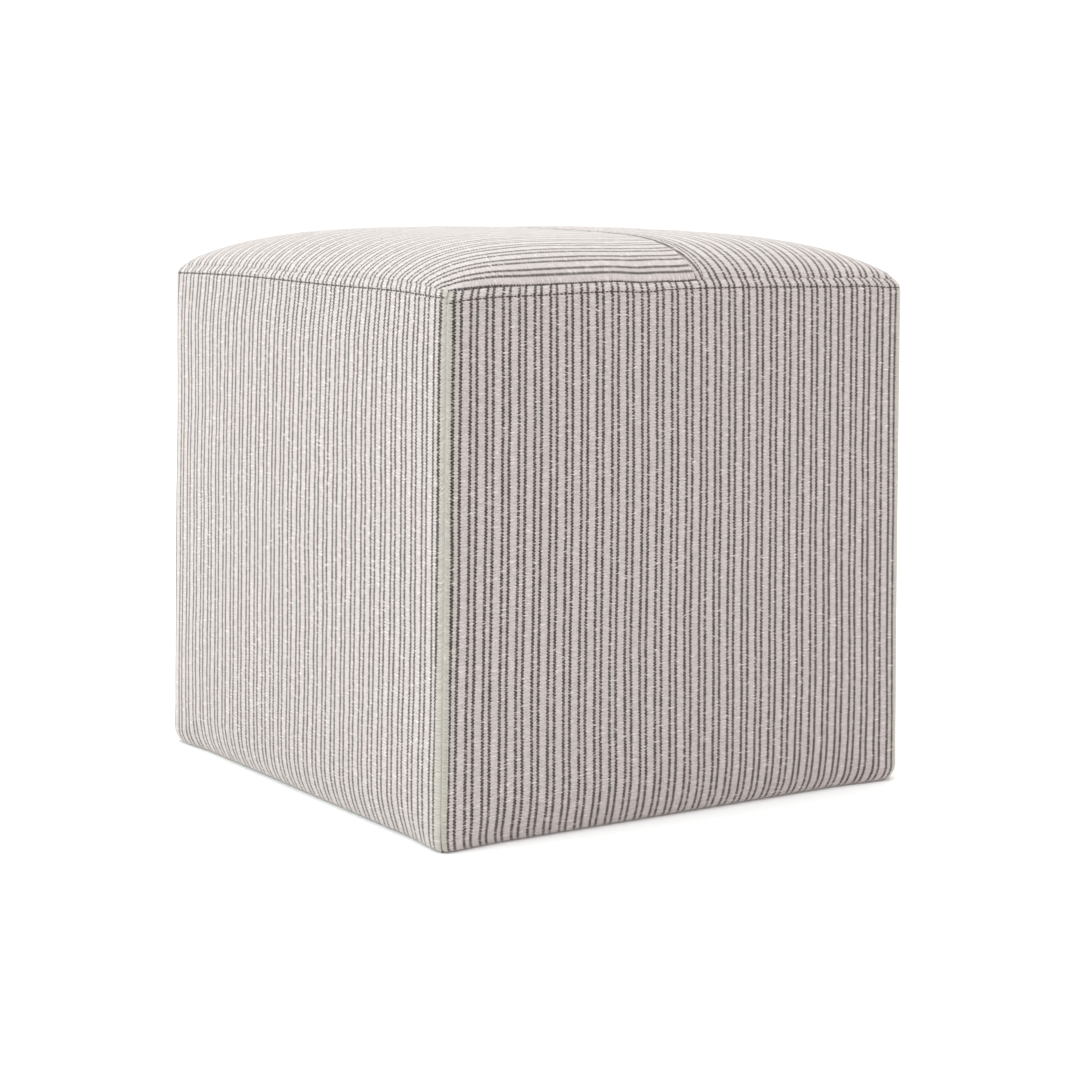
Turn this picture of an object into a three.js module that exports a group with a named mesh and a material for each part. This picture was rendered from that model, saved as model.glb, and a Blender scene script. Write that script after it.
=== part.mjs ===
// Cube pouf stool: a firmly filled cube of striped woven cloth, 18 inches a side.
// The cover is sewn from seven panels: two half panels on the top, four sides and a base.
// Every panel is one solid, made together with the filling that lies behind it, so the
// seven of them fill the cube and part only along the seams.
// Millimetres, +Z up, origin on the floor under the middle; the front faces -Y.

import * as THREE from 'three';

// ---- driving dimensions ---------------------------------------------------------------

const BASE_WIDTH = 452;          // corner to corner where the side meets the rolled lower edge
const TOPSTITCH_WIDTH = 441.4;   // corner to corner at the topstitch, drawn in by the seam
const TOPSTITCH_HEIGHT = 408.2;  // of the stitched line below the top seam, at the corners
const SEAM_HEIGHT = 415;         // of the seam between sides and top, at the corners
const CROWN_HEIGHT = 451;        // of the filled top

const CORNER_RADIUS = 14;        // of the upright corners, in plan
const LOWER_EDGE_RADIUS = 12;    // where the side panels turn under
const LOWER_EDGE_LIP = 0.8;      // flat strip inside that turn, sewn to the base
const SEAM_INSET = 4.2;          // how far the top seam lies inside the side's face
const SEAT_HEIGHT = 410;         // level on which the top panels' filling lies
const BASE_CLOTH = 2;            // thickness of the base panel
const GAP = 0.3;                 // between neighbouring pieces
const SMALLEST_AREA = 1e-3;      // a triangle under this has closed up

const SEAM_DIP = 1.8;            // depth to which a seam pulls the cloth in
const TOPSTITCH_DIP = 1.1;       // depth of a topstitched line
const CENTRE_SEAM = 8;           // how far right of the middle the two top panels are joined
const CENTRE_TOPSTITCH = 7;      // distance of its topstitch, on the right panel

// Section of the crown, (1 - place ** edge) ** rise from the middle (0) to a seam (1):
// a high edge keeps it level for longer, a low rise makes it stand up steeply at the seam.
const CROWN_FRONT = { edge: 5.8, rise: 0.61 };
const CROWN_BACK = { edge: 2, rise: 0.35 };

const FULLEST_HEIGHT = 165;      // where the sides stand out most
const FULLNESS_AT_BASE = 0.6;    // share of a side's bulge that is left at the floor
const FULLNESS_AT_TOP = 0.45;    // and at the topstitch
const LIFT_STARTS = 300;         // above this height a side stretches up with its seam
const SEAM_REACH = 6;            // power by which the top follows its seams: high, so only near them

// Lengths of the slow waves of the filling: a short one along a side, and a long one that
// also shifts up the side.
const WAVES = { short: 58, long: 91, upward: 70 };

// Each side: bulge of its middle, rise of the top seam at its middle, and a slow
// unevenness of the filling (amplitude, and where its waves start).
const SIDES = {
  front: { turn: 0, bulge: 3.8, rise: 4.2, uneven: 0.7, phase: 0.4 },
  right: { turn: 1, bulge: 3.2, rise: 3.0, uneven: 0.8, phase: 2.1 },
  back: { turn: 2, bulge: 4.0, rise: 3.5, uneven: 0.9, phase: 3.3 },
  left: { turn: 3, bulge: 3.4, rise: 2.8, uneven: 0.7, phase: 5.0 },
};

// Each half of the top: its side of the centre seam, and its section.
const TOP_HALVES = {
  left: { hand: -1, section: { edge: 6.3, rise: 0.71 } },
  right: { hand: 1, section: { edge: 3.1, rise: 0.44 } },
};

// ---- form of the filled cube ----------------------------------------------------------

const { lerp, clamp, degToRad } = THREE.MathUtils;

function faceHalfWidth(height) {
  return lerp(BASE_WIDTH, TOPSTITCH_WIDTH, Math.min(height / TOPSTITCH_HEIGHT, 1)) / 2;
}

// Share of a side's bulge at a height. The seam with the base draws it in to a straight line.
function fullness(height) {
  const below = height < FULLEST_HEIGHT;
  const reach = below ? FULLEST_HEIGHT : TOPSTITCH_HEIGHT - FULLEST_HEIGHT;
  const left = below ? FULLNESS_AT_BASE : FULLNESS_AT_TOP;
  const away = Math.min(Math.abs(height - FULLEST_HEIGHT) / reach, 1);
  const drawnIn = clamp((height - BASE_CLOTH) / LOWER_EDGE_RADIUS, 0, 1);
  return drawnIn * (1 - (1 - left) * away ** 2);
}

// 1 in the middle of a side, 0 where its rounded corners begin.
function middleShare(across, half) {
  const share = clamp(across / (half - CORNER_RADIUS), -1, 1);
  return 1 - share ** 2;
}

function bulgeOf(side, across, half, height) {
  const short = Math.sin(across / WAVES.short + side.phase);
  const long = Math.sin(across / WAVES.long - height / WAVES.upward + side.phase);
  const window = Math.sin(Math.PI * clamp(height / TOPSTITCH_HEIGHT, 0, 1));
  const swell = side.bulge * fullness(height) + side.uneven * (short + long) * window;
  return swell * middleShare(across, half);
}

function liftOf(side, across, half, height) {
  const share = clamp((height - LIFT_STARTS) / (TOPSTITCH_HEIGHT - LIFT_STARTS), 0, 1);
  return side.rise * middleShare(across, half) * share ** 2;
}

// ---- side panels ------------------------------------------------------------------------

// Rows of a side panel, from the base upwards. inset is how far a row lies behind the face.
const lowerEdge = [0, 22.5, 45, 67.5, 90].map((angle) => ({
  height: LOWER_EDGE_RADIUS * (1 - Math.cos(degToRad(angle))),
  inset: LOWER_EDGE_RADIUS * (1 - Math.sin(degToRad(angle))),
}));
const BELOW_TOPSTITCH = 4;       // where the face starts to be drawn in
const face = [60, 115, 180, 245, 310, 365, TOPSTITCH_HEIGHT - BELOW_TOPSTITCH].map((height) => ({ height, inset: 0 }));

// The puffed strip between the topstitch (0) and the seam (1), which then turns in.
const welt = [
  { rise: 0, inset: TOPSTITCH_DIP },
  { rise: 0.3, inset: 0.1 * SEAM_INSET },
  { rise: 0.65, inset: 0.26 * SEAM_INSET },
  { rise: 0.9, inset: 0.6 * SEAM_INSET },
  { rise: 1, inset: 0.83 * SEAM_INSET },
  { rise: 0.85, inset: 0.98 * SEAM_INSET },
];

const SIDE_ROWS = [
  { height: BASE_CLOTH + GAP, inset: LOWER_EDGE_RADIUS + LOWER_EDGE_LIP, level: true },
  ...lowerEdge,
  ...face,
  ...welt.map(({ rise, inset }) => ({ height: lerp(TOPSTITCH_HEIGHT, SEAM_HEIGHT, rise), inset })),
  { height: SEAT_HEIGHT, inset: SEAM_INSET, level: true },
];

// Columns from the corner seam to the middle: first around the corner, then along the face.
const MITRE_ANGLE = 45;
const CORNER_COLUMNS = [
  { turn: MITRE_ANGLE, dip: SEAM_DIP },
  { turn: 41, dip: 0.3 * SEAM_DIP },
  { turn: 33, dip: 0 },
  { turn: 17, dip: 0 },
  { turn: 0, dip: 0 },
];
const FACE_COLUMNS = [0.84, 0.62, 0.4, 0.2];
const oneHalf = [...CORNER_COLUMNS, ...FACE_COLUMNS.map((along) => ({ along }))];
const SIDE_COLUMNS = [
  ...oneHalf.map((column) => ({ ...column, hand: -1 })),
  { along: 0, hand: 1 },
  ...oneHalf.toReversed().map((column) => ({ ...column, hand: 1 })),
];
const MITRE = GAP / Math.SQRT2;  // keeps half a gap to the mitre plane between two sides

function sidePoint(side, column, row) {
  const half = faceHalfWidth(row.height) - row.inset;
  const straight = half - CORNER_RADIUS;
  if (column.turn !== undefined) {
    const angle = degToRad(column.turn);
    const pulled = clamp(1 - row.inset / SEAM_INSET, 0, 1);
    const radius = CORNER_RADIUS - pulled * column.dip;
    const out = straight + radius * Math.cos(angle);
    const onMitre = column.turn === MITRE_ANGLE;
    const across = onMitre ? out - MITRE : straight + radius * Math.sin(angle);
    return new THREE.Vector3(column.hand * across, -out, row.height);
  }
  const across = column.hand * column.along * straight;
  const out = half + bulgeOf(side, across, half, row.height);
  const lift = row.level ? 0 : liftOf(side, across, half, row.height);
  return new THREE.Vector3(across, -out, row.height + lift);
}

// A row inside the panel, on the straight line from its lower to its upper turned-in edge.
function innerRow(height) {
  const lowest = SIDE_ROWS[0];
  const highest = SIDE_ROWS.at(-1);
  const level = clamp(height, lowest.height, highest.height);
  const share = (level - lowest.height) / (highest.height - lowest.height);
  return { ...lowest, height: level, inset: lerp(lowest.inset, highest.inset, share) };
}

// A wedge from the cube's upright axis to the cloth. It starts as a box with a grid line for
// each column and row on its front, whose back closes up to the axis.
function sidePanelGeometry(side) {
  const columns = SIDE_COLUMNS.length - 1;
  const rows = SIDE_ROWS.length - 1;
  const box = new THREE.BoxGeometry(columns, 2, rows, columns, 2, rows);
  box.translate(columns / 2, 0, rows / 2);
  return moveVertices(box, (x, y, z) => {
    const column = SIDE_COLUMNS[Math.round(x)];
    const row = SIDE_ROWS[Math.round(z)];
    const layer = Math.round(y);
    if (layer < 0) return sidePoint(side, column, row);
    const inner = innerRow(row.height);
    return layer > 0 ? new THREE.Vector3(0, -MITRE, inner.height) : sidePoint(side, column, inner);
  });
}

// ---- top panels -------------------------------------------------------------------------

const TOP_HALF = faceHalfWidth(TOPSTITCH_HEIGHT) - SEAM_INSET - GAP;
const cornerStart = 1 - CORNER_RADIUS / TOP_HALF;

// Places of the grid lines, from the middle of the top (0) to its seam (1).
const GRID = [0, 0.13, 0.26, 0.39, 0.52, 0.64, 0.74, 0.82, 0.885, cornerStart, 0.958, 0.98, 1];
const ALONG_TOP = [...GRID.slice(1).toReversed().map((place) => -place), ...GRID];

// Lines beside the centre seam: distance from it, and how far each is pulled down.
const SEAM_LINES = [
  { from: GAP / 2, dip: SEAM_DIP },
  { from: 1.2, dip: 0.3 * SEAM_DIP },
  { from: 3.4, dip: 0 },
];
const TOPSTITCH_LINES = [
  { from: CENTRE_TOPSTITCH, dip: 0.7 * TOPSTITCH_DIP },
  { from: CENTRE_TOPSTITCH + 2.2, dip: 0 },
];

function acrossLines(half) {
  const beside = half.hand > 0 ? [...SEAM_LINES, ...TOPSTITCH_LINES] : SEAM_LINES;
  return [
    ...beside.map(({ from, dip }) => ({ x: CENTRE_SEAM + half.hand * from, dip })),
    ...GRID.slice(1).map((place) => ({ x: half.hand * place * TOP_HALF, dip: 0 })),
  ];
}

function roll(place, section) {
  return (1 - Math.min(Math.abs(place), 1) ** section.edge) ** section.rise;
}

// Bends the square corner of the grid onto the round corner of the panel.
function roundCorner(x, y) {
  const straight = TOP_HALF - CORNER_RADIUS;
  const beyondX = (Math.abs(x) - straight) / CORNER_RADIUS;
  const beyondY = (Math.abs(y) - straight) / CORNER_RADIUS;
  if (beyondX <= 0 || beyondY <= 0) return [x, y];
  const ring = Math.max(beyondX, beyondY);
  const angle = beyondX > beyondY
    ? (Math.PI / 4) * (beyondY / beyondX)
    : Math.PI / 2 - (Math.PI / 4) * (beyondX / beyondY);
  return [
    Math.sign(x) * (straight + ring * CORNER_RADIUS * Math.cos(angle)),
    Math.sign(y) * (straight + ring * CORNER_RADIUS * Math.sin(angle)),
  ];
}

function topPoint(half, line, along, upper) {
  const across = line.x / TOP_HALF;
  const [x, y] = roundCorner(line.x, along * TOP_HALF);
  const end = along < 0 ? SIDES.front : SIDES.back;
  const flank = across < 0 ? SIDES.left : SIDES.right;
  const nearEnd = Math.abs(along) ** SEAM_REACH;
  const nearFlank = Math.abs(across) ** SEAM_REACH;
  const outY = Math.sign(along) * nearEnd * bulgeOf(end, x, TOP_HALF, TOPSTITCH_HEIGHT);
  const outX = Math.sign(across) * nearFlank * bulgeOf(flank, y, TOP_HALF, TOPSTITCH_HEIGHT);
  if (!upper) return new THREE.Vector3(x + outX, y + outY, SEAT_HEIGHT + GAP);
  const rim = SEAM_HEIGHT
    + nearEnd * liftOf(end, x, TOP_HALF, TOPSTITCH_HEIGHT)
    + nearFlank * liftOf(flank, y, TOP_HALF, TOPSTITCH_HEIGHT);
  const crown = roll(across, half.section) * roll(along, along < 0 ? CROWN_FRONT : CROWN_BACK);
  const height = lerp(rim, CROWN_HEIGHT, crown);
  return new THREE.Vector3(x + outX, y + outY, height - line.dip);
}

// A box with a grid on it, whose vertices then take their places on the crowned half.
function topPanelGeometry(half) {
  const lines = acrossLines(half);
  const columns = lines.length - 1;
  const rows = ALONG_TOP.length - 1;
  const box = new THREE.BoxGeometry(columns, rows, 1, columns, rows, 1);
  box.translate(columns / 2, rows / 2, 0);
  return moveVertices(box, (x, y, z) => {
    const column = half.hand > 0 ? Math.round(x) : columns - Math.round(x);
    return topPoint(half, lines[column], ALONG_TOP[Math.round(y)], z > 0);
  });
}

// ---- base panel -------------------------------------------------------------------------

const BASE_HALF = faceHalfWidth(0) - LOWER_EDGE_RADIUS - LOWER_EDGE_LIP - GAP;

function basePanelGeometry() {
  const radius = CORNER_RADIUS;
  const straight = BASE_HALF - radius;
  const outline = new THREE.Shape();
  outline.absarc(straight, straight, radius, 0, Math.PI / 2);
  outline.absarc(-straight, straight, radius, Math.PI / 2, Math.PI);
  outline.absarc(-straight, -straight, radius, Math.PI, 1.5 * Math.PI);
  outline.absarc(straight, -straight, radius, 1.5 * Math.PI, 2 * Math.PI);
  return new THREE.ExtrudeGeometry(outline, { depth: BASE_CLOTH, bevelEnabled: false, curveSegments: 6 });
}

// ---- the pouf ---------------------------------------------------------------------------

// Moves every vertex to the place that the function gives it, and drops the triangles that
// have closed up to a line.
function moveVertices(geometry, place) {
  const position = geometry.getAttribute('position');
  for (let i = 0; i < position.count; i += 1) {
    const moved = place(position.getX(i), position.getY(i), position.getZ(i));
    position.setXYZ(i, moved.x, moved.y, moved.z);
  }
  const corners = geometry.index.array;
  const triangle = new THREE.Triangle();
  const kept = [];
  for (let i = 0; i < corners.length; i += 3) {
    triangle.setFromAttributeAndIndices(position, corners[i], corners[i + 1], corners[i + 2]);
    if (triangle.getArea() > SMALLEST_AREA) kept.push(corners[i], corners[i + 1], corners[i + 2]);
  }
  geometry.setIndex(kept);
  geometry.computeVertexNormals();
  return geometry;
}

const stripedCloth = new THREE.MeshStandardMaterial({ color: 0xd8d1c9, roughness: 0.95, metalness: 0 });
const baseCloth = new THREE.MeshStandardMaterial({ color: 0x8f8a84, roughness: 0.95, metalness: 0 });

function piece(name, geometry, material) {
  const mesh = new THREE.Mesh(geometry, material.clone());
  mesh.name = name;
  return mesh;
}

const pouf = new THREE.Group();
pouf.name = 'cube_pouf_stool';

for (const [name, side] of Object.entries(SIDES)) {
  const panel = piece(`side_panel_${name}`, sidePanelGeometry(side), stripedCloth);
  panel.rotation.z = side.turn * Math.PI / 2;
  pouf.add(panel);
}
for (const [name, half] of Object.entries(TOP_HALVES)) {
  pouf.add(piece(`top_panel_${name}`, topPanelGeometry(half), stripedCloth));
}
pouf.add(piece('base_panel', basePanelGeometry(), baseCloth));

export default pouf;
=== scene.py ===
# %% [markdown]
# # A cube pouf stool in striped ticking
# The pouf is a cube of firm filling, 18 inches a side, in a sewn cover: four side panels,
# two half panels on the top and a plain base. The frame holds the measured solids, and this
# lesson dresses each of them as cloth: first the light and the camera, then the form of the
# filled cover, its seams and stitches, and last the woven cloth itself.

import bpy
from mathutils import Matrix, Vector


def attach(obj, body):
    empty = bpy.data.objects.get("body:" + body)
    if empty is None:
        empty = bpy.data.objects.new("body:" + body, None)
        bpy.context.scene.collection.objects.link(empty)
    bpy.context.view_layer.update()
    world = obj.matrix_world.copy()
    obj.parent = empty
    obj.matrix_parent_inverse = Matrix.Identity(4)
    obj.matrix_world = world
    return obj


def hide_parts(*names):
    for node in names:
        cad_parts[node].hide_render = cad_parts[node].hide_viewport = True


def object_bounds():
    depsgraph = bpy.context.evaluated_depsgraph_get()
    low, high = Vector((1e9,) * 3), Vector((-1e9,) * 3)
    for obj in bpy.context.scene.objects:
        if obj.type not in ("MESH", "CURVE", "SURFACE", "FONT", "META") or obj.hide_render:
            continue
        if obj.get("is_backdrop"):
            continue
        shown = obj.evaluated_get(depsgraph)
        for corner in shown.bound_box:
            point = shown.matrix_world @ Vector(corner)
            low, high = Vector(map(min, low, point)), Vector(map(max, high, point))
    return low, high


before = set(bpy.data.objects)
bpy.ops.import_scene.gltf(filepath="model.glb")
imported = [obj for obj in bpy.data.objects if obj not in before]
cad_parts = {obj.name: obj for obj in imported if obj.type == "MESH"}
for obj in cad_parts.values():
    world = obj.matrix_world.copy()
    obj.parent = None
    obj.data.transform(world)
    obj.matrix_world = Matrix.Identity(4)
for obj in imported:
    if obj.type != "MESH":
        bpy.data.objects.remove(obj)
solid_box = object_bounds()
print("nodes to dress:", ", ".join(sorted(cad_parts)))

# %% Tools of the lesson
import math

import bpy
import numpy as np
from mathutils import Matrix, Vector

MM = 0.001  # the cover is measured in millimetres, and Blender works in metres


def rgb(hex_colour):
    """An sRGB hex colour as the linear numbers that shaders work with."""
    parts = [int(hex_colour[i:i + 2], 16) / 255 for i in (1, 3, 5)]
    return [c / 12.92 if c <= 0.04045 else ((c + 0.055) / 1.055) ** 2.4 for c in parts] + [1.0]


# %% [markdown]
# ## The camera
# A product picture is taken from a few metres away with a long lens, a little above the seat,
# so that upright edges stay nearly parallel. A camera is described here as a person would set
# up a tripod: where it stands, how far it is turned and tipped, and its focal length.
# The alternative, a camera that tracks an empty, is quicker but gives no exact roll.

# %% Camera
LENS = 87.53                            # mm, on a 36 mm wide sensor
STAND = Vector((-1218.0, -1823.9, 521.7)) * MM
TURNED, TIPPED, ROLLED = (math.radians(a) for a in (34.014, 8.617, 0.564))

ahead = Vector((
    math.sin(TURNED) * math.cos(TIPPED),
    math.cos(TURNED) * math.cos(TIPPED),
    -math.sin(TIPPED)))
right = Vector((math.cos(TURNED), -math.sin(TURNED), 0))
above = right.cross(ahead)
camera_x = math.cos(ROLLED) * right + math.sin(ROLLED) * above
camera_y = math.cos(ROLLED) * above - math.sin(ROLLED) * right

camera = bpy.data.objects.new("camera", bpy.data.cameras.new("camera"))
camera.data.lens = LENS
camera.data.sensor_width = 36
camera.data.sensor_fit = "HORIZONTAL"
camera.data.clip_end = 50
aimed = Matrix((camera_x, camera_y, -ahead)).transposed().to_4x4()
camera.matrix_world = Matrix.Translation(STAND) @ aimed
bpy.context.scene.collection.objects.link(camera)
bpy.context.scene.camera = camera
print(f"camera {STAND.length:.2f} m from the pouf, {math.degrees(TIPPED):.1f} degrees down")

# %% [markdown]
# ## Light and floor
# The studio is a bright white room. A white world lights every side softly, a large soft
# window on the left and behind gives the left side and the top their glow, and the front
# stays in open shade. The floor is a wide pale disc, so that the pouf stands on something
# and gets a soft contact shadow from it.

# %% Studio light
DAYLIGHT = (0.86, 1.0, 0.99)   # a trace of blue-green in the windows, and of pink in the room


def soft_window(name, place, aim, size, watts):
    """A square area light at a place, turned to a point."""
    light = bpy.data.lights.new(name, "AREA")
    light.color = DAYLIGHT
    light.shape = "RECTANGLE"
    light.size, light.size_y = size
    light.energy = watts
    lamp = bpy.data.objects.new(name, light)
    lamp.location = place
    lamp.rotation_euler = (Vector(aim) - Vector(place)).to_track_quat("-Z", "Y").to_euler()
    bpy.context.scene.collection.objects.link(lamp)


MIDDLE = (0, 0, 0.25)
soft_window("left_window", (-2.6, 0.8, 1.5), MIDDLE, (2.2, 2.0), 44)
soft_window("overhead", (-0.2, -0.1, 2.9), MIDDLE, (2.4, 2.0), 43)

world = bpy.data.worlds.new("white_room")
world.use_nodes = True
room = world.node_tree.nodes["Background"]
room.inputs["Color"].default_value = rgb("#fffcfc")
room.inputs["Strength"].default_value = 1.12
bpy.context.scene.world = world
bpy.context.scene.view_settings.view_transform = "Standard"

# %% Helpers for every material
def add(material, kind, settings=None, **links):
    """Adds a node with its settings, and links its inputs to other sockets or sets them."""
    tree = material.node_tree
    node = tree.nodes.new("ShaderNode" + kind)
    for name, value in (settings or {}).items():
        setattr(node, name, value)
    for name, value in links.items():  # an input's name, or _ and its number
        tail = name[1:]
        socket = node.inputs[int(tail)] if tail.isdigit() else node.inputs[name.replace("_", " ")]
        if isinstance(value, bpy.types.NodeSocket):
            tree.links.new(value, socket)
        else:
            socket.default_value = value
    return node


def new_material(name, **surface):
    """A new material, whose Principled shader has these settings."""
    material = bpy.data.materials.new(name)
    material.use_nodes = True
    shader = material.node_tree.nodes["Principled BSDF"]
    for socket, value in surface.items():
        shader.inputs[socket.replace("_", " ")].default_value = value
    return material


def drive(material, **surface):
    """Links settings of the material's Principled shader to other nodes."""
    shader = material.node_tree.nodes["Principled BSDF"]
    for socket, output in surface.items():
        material.node_tree.links.new(output, shader.inputs[socket.replace("_", " ")])


print("a material can be made, given nodes, and driven by them")

# %% Floor
FLOOR_RADIUS = 60.0  # m
bpy.ops.mesh.primitive_circle_add(vertices=96, radius=FLOOR_RADIUS, fill_type="NGON")
floor = bpy.context.object
floor.name = "studio_floor"
painted_board = new_material(
    "painted_board", Base_Color=rgb("#fbfbfb"), Roughness=0.9, Specular_IOR_Level=0.1)
floor.data.materials.append(painted_board)
floor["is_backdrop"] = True
print("floor of", FLOOR_RADIUS, "m radius")

# %% [markdown]
# ## Sizes of the filled cover
# The same named sizes as in the part's source, in millimetres. The cover is widest at the
# floor, is drawn in a little towards the topstitch, and the top is crowned by its filling.
# One table gives each side its own fullness, because no two filled sides are alike.

# %% Sizes
BASE_WIDTH = 452.0
TOPSTITCH_WIDTH = 441.4
TOPSTITCH_HEIGHT = 408.2
SEAM_HEIGHT = 415.0
CROWN_HEIGHT = 451.0
CORNER_RADIUS = 14.0
CORNERS = [  # each corner's radius at the floor, and how much it grows higher up, from front left on
    (6.0, 0.0),
    (13.0, 0.0),
    (15.0, 0.5),
    (16.0, 2.5),
]
SEAM_INSET = 4.2
SEAT_HEIGHT = 410.0
BASE_CLOTH = 2.0
GAP = 0.3
SEAM_DIP = 1.8
TOPSTITCH_DIP = 1.1
CENTRE_SEAM = 8.0
CENTRE_TOPSTITCH = 7.0
LOWER_EDGE_INSET = 12.8  # how far inside the side the base is sewn
SEAM_BLANK = 219.6       # from the middle of a side to the blank beyond its last pair of stripes

SIDES = {
    # turn: in quarter turns; mm of bulge at the seams, swell by the filling, lift of the top seam;
    # phase: where the slow waves start; tuck: how deep and how high it is drawn in at the floor;
    # stretch and shift: of the stripes; stitch_waves and seam_waves: low and high places of the
    # topstitch and of the top seam, each as its place, its half width and its height;
    # leans: where stripes stray, as across, height, half width, half height and how far
    "front": dict(
        turn=0, bulge=1.7, swell=2.3, lift=4.2, phase=0.4, tuck=(8.0, 42.0), stretch=1.0, shift=-2.1,
        stitch_waves=[(-217, 9, -2.0), (-176, 22, 0.7), (-44, 17, -1.6), (176, 20, 0.9)],
        seam_waves=[(-10, 24, -1.8)],
        leans=[(-110, 0, 170, 110, 4.3), (130, 315, 90, 60, -1.1), (-226, 30, 150, 110, 3.0)]),
    "right": dict(
        turn=1, bulge=1.4, swell=2.0, lift=3.0, phase=2.1, tuck=(8.0, 38.0), stretch=1.0, shift=1.3,
        stitch_waves=[(-120, 20, 0.7), (30, 30, -0.9)],
        seam_waves=[],
        leans=[(60, 0, 160, 100, -2.4), (-90, 300, 110, 80, 1.2)]),
    "back": dict(
        turn=2, bulge=1.8, swell=2.4, lift=3.5, phase=3.3, tuck=(7.5, 40.0), stretch=1.0, shift=4.6,
        stitch_waves=[(-70, 25, -0.8), (140, 18, 1.0)],
        seam_waves=[],
        leans=[(-90, 30, 150, 90, 2.0), (110, 240, 120, 90, -1.3)]),
    "left": dict(
        turn=3, bulge=1.5, swell=2.1, lift=2.8, phase=5.0, tuck=(8.0, 34.0), stretch=1.012, shift=-3.4,
        stitch_waves=[(-100, 120, 1.3), (165, 90, 2.7)],
        seam_waves=[],
        leans=[(130, 250, 170, 140, 3.6), (100, 400, 150, 80, 3.4), (80, 40, 200, 80, -3.4),
               (-150, 170, 110, 65, 2.3), (226, 30, 110, 80, -4.0), (-60, 418, 230, 26, 7.0)]),
}
TOP_HALVES = {
    "left": dict(hand=-1, swell=1.0),
    "right": dict(hand=1, swell=1.0),
}
print(f"cover {BASE_WIDTH:.0f} mm wide at the floor, crown {CROWN_HEIGHT:.0f} mm high")

# %% [markdown]
# ## Form of a side
# A side panel is a square of cloth over a firm filling. It could be modelled as a box with
# bevels, but a bevel is the same all along an edge. A grid whose points are placed by a
# formula can be full in the middle, tight at the corners, drawn in by each seam and tucked
# in at the floor, so the side is made as columns and rows of points.

# %% Smooth changes
def between(low, high, share):
    return low + (high - low) * share


def smooth_step(value, start, end):
    share = np.clip((value - start) / (end - start), 0, 1)
    return share * share * (3 - 2 * share)


def sum_of_waves(waves, place):
    """Sum of smooth waves, each given by its place, its half width and its height in mm."""
    return sum((high * np.exp(-((place - middle) / width) ** 2) for middle, width, high in waves), 0 * place)


print("a smooth step halfway up:", smooth_step(0.5, 0, 1))

# %% Fullness of a side
WAVES = dict(short=58, long=91, upward=70)  # mm, lengths of the slow waves of the filling
UNEVEN = 0.75           # mm that those waves move the cloth
LOWER_EDGE_RADIUS = 12  # below this height the seam with the base draws the bulge in
LIFT_STARTS = 300       # above this height a side stretches up with its seam


def half_width(height):
    return between(BASE_WIDTH, TOPSTITCH_WIDTH, np.minimum(height / TOPSTITCH_HEIGHT, 1)) / 2


def middle_share(across, half):
    """1 in the middle of a side, 0 where its rounded corners begin."""
    return 1 - np.clip(across / (half - CORNER_RADIUS), -1, 1) ** 2


def side_bulge(side, across, half, height):
    short = np.sin(across / WAVES["short"] + side["phase"])
    long = np.sin(across / WAVES["long"] - height / WAVES["upward"] + side["phase"])
    window = np.sin(np.pi * np.clip(height / TOPSTITCH_HEIGHT, 0, 1))
    drawn_in = np.clip(height / LOWER_EDGE_RADIUS, 0, 1)
    return (side["bulge"] * drawn_in + UNEVEN * (short + long) * window) * middle_share(across, half)


def seam_lift(side, across, half, height):
    share = np.clip((height - LIFT_STARTS) / (TOPSTITCH_HEIGHT - LIFT_STARTS), 0, 1)
    return side["lift"] * middle_share(across, half) * share ** 2


print("half width at the floor", half_width(0.0), "and at the topstitch", half_width(TOPSTITCH_HEIGHT))

# %% Lines of the upper seams, and of the stripes
WANDER_STARTS = 360        # mm high, where a side begins to follow the topstitch up and down
LEVEL_CORNER = (185, 214)  # mm from the middle, between which the strip above it grows level
LEVELLED = 0.7             # share of the waves that it loses there


def wander(side, across, height):
    """A sewn line never runs quite level: low and high places of the upper seams."""
    near = np.clip((height - WANDER_STARTS) / (TOPSTITCH_HEIGHT - WANDER_STARTS), 0, 1) ** 3
    strip = np.clip((height - TOPSTITCH_HEIGHT) / (SEAM_HEIGHT - TOPSTITCH_HEIGHT), 0, 1)
    corner_fade = 1 - LEVELLED * strip * smooth_step(np.abs(across), *LEVEL_CORNER)
    stitch_wave = near * corner_fade * sum_of_waves(side["stitch_waves"], across)
    return stitch_wave + strip * sum_of_waves(side["seam_waves"], across)


def stripe_lean(side, across, height):
    """How far the stripes stray sideways, where the cloth was pulled as it was sewn."""
    return sum(far * np.exp(-((across - x) / wide) ** 2 - ((height - z) / tall) ** 2)
               for x, z, wide, tall, far in side["leans"])


print("places where stripes stray:", {name: len(side["leans"]) for name, side in SIDES.items()})

# %% Tucks and corners
CORNER_TUCK = (4.5, 14.0)   # depth and height of the tuck at a corner, where the cloth is tight
TUCK_GROWS = 55             # mm from a corner, over which it grows to the side's own tuck
TURN_UNDER = 4.0            # radius of the last turn onto the floor
STRIP_LEAN = (0.97, 1.6)    # share of the seam's inset that is reached, and how late
CORNER_SOFTENS = 220        # mm high, where a corner has its usual radius
CORNER_BLUNTS = (300, 70)   # middle and half height of the place where it may be blunter


def tuck_inset(side, height, from_corner):
    """How far the cloth is drawn in near the floor."""
    grown = smooth_step(from_corner, 0, TUCK_GROWS)
    depth = between(CORNER_TUCK[0], side["tuck"][0], grown)
    reach = between(CORNER_TUCK[1], side["tuck"][1], grown)
    drawn = depth * np.clip(1 - height / reach, 0, 1) ** 2
    turn = np.clip(TURN_UNDER - height, 0, TURN_UNDER)
    return drawn + TURN_UNDER - np.sqrt(TURN_UNDER ** 2 - turn ** 2)


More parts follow.
